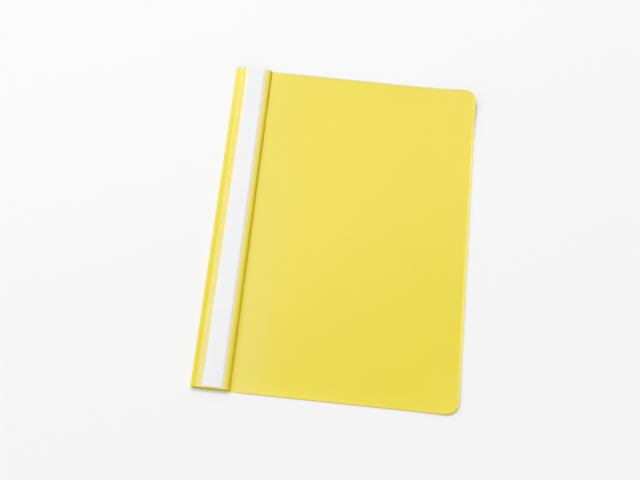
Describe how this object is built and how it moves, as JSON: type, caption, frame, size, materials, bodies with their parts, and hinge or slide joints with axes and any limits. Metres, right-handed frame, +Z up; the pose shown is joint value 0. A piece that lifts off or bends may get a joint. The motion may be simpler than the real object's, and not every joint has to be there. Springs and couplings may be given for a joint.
{
  "type": "fastener folder",
  "caption": "A4 fastener folder: coloured back cover folded into a front strip with a label in a clear pocket, clear front cover, and a steel prong fastener inside.",
  "frame": {"origin": "centre of the closed folder's outline, on the table surface under the back cover", "axes": "+X from the spine to the fore edge, +Y up the page, +Z up from the table through the closed folder"},
  "size_m": [0.232, 0.31, 0.0052],
  "materials": {
    "yellow_sheet": "opaque yellow polypropylene sheet, fine grain, soft sheen",
    "clear_film": "clear plastic film, smooth, slightly hazy",
    "label_paper": "white uncoated paper",
    "fastener_steel": "thin zinc-plated steel band"
  },
  "bodies": {
    "back": {"back_cover": "yellow_sheet", "spine_fold": "yellow_sheet", "anchor_strip": "yellow_sheet", "prong_base": "fastener_steel", "compressor_bar": "fastener_steel"},
    "strip": {"spine_strip": "yellow_sheet", "label_window": "clear_film"},
    "front": {"front_cover": "clear_film"},
    "label": {"label_insert": "label_paper"},
    "prong_upper": {"upper_prong": "fastener_steel"},
    "prong_lower": {"lower_prong": "fastener_steel"},
    "lock_upper": {"upper_lock": "fastener_steel"},
    "lock_lower": {"lower_lock": "fastener_steel"}
  },
  "joints": [
    {"name": "spine_hinge", "type": "hinge", "parent": "back", "child": "strip", "pos_m": [-0.116, 0, 0.00165], "axis": [0, -1, 0], "range_deg": [0, 176]},
    {"name": "crease_hinge", "type": "hinge", "parent": "strip", "child": "front", "pos_m": [-0.0821, 0, 0.0036], "axis": [0, -1, 0], "range_deg": [0, 178]},
    {"name": "label_slide", "type": "slide", "parent": "strip", "child": "label", "axis": [0, 1, 0], "range_m": [0, 0.308]},
    {"name": "upper_prong_bend", "type": "hinge", "parent": "back", "child": "prong_upper", "pos_m": [-0.095, 0.04, 0.00145], "axis": [-1, 0, 0], "range_deg": [0, 90]},
    {"name": "lower_prong_bend", "type": "hinge", "parent": "back", "child": "prong_lower", "pos_m": [-0.095, -0.04, 0.00145], "axis": [1, 0, 0], "range_deg": [0, 90]},
    {"name": "upper_lock_slide", "type": "slide", "parent": "back", "child": "lock_upper", "axis": [0, 1, 0], "range_m": [0, 0.026]},
    {"name": "lower_lock_slide", "type": "slide", "parent": "back", "child": "lock_lower", "axis": [0, -1, 0], "range_m": [0, 0.026]}
  ],
  "couplings": [
    {"joint": "upper_prong_bend", "follows": "spine_hinge", "ratio": 0.5},
    {"joint": "lower_prong_bend", "follows": "spine_hinge", "ratio": 0.5}
  ]
}
